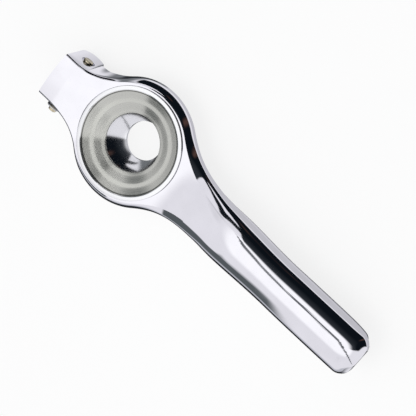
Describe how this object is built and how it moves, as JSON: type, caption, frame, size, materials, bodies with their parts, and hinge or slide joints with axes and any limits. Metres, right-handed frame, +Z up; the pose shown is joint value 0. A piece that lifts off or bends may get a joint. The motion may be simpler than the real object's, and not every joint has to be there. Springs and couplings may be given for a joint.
{
  "type": "citrus press juicer",
  "caption": "Hand lever citrus press, closed: chromed upper arm carrying a satin press dish over a polished juice cup with a drain hole, on one hinge pin",
  "frame": {"origin": "Middle of the bounding box in X and Y, on the surface that the press stands on (Z = 0 at the cup's foot)", "axes": "+X along the tool from the hinge to the handle end, +Y across the tool along the hinge pin, +Z up through the dish opening"},
  "size_m": [0.225, 0.0704, 0.0319],
  "materials": {
    "chrome_arm": "mirror chrome plate on a die casting",
    "satin_steel": "fine turned satin",
    "polished_steel": "mirror polished",
    "spring_steel": "plain ground",
    "brass_pin": "turned",
    "brass_bush": "turned"
  },
  "bodies": {
    "base": {"lower_arm": "chrome_arm", "juice_cup": "polished_steel", "bush_left": "brass_bush", "bush_right": "brass_bush"},
    "lever": {"upper_arm": "chrome_arm", "press_dish": "satin_steel", "dish_ring": "spring_steel", "hinge_pin": "brass_pin", "pin_clip": "spring_steel"}
  },
  "joints": [
    {"name": "lever_hinge", "type": "hinge", "parent": "base", "child": "lever", "pos_m": [-0.1034, 0, 0.0143], "axis": [0, -1, 0], "range_deg": [0, 110]}
  ]
}
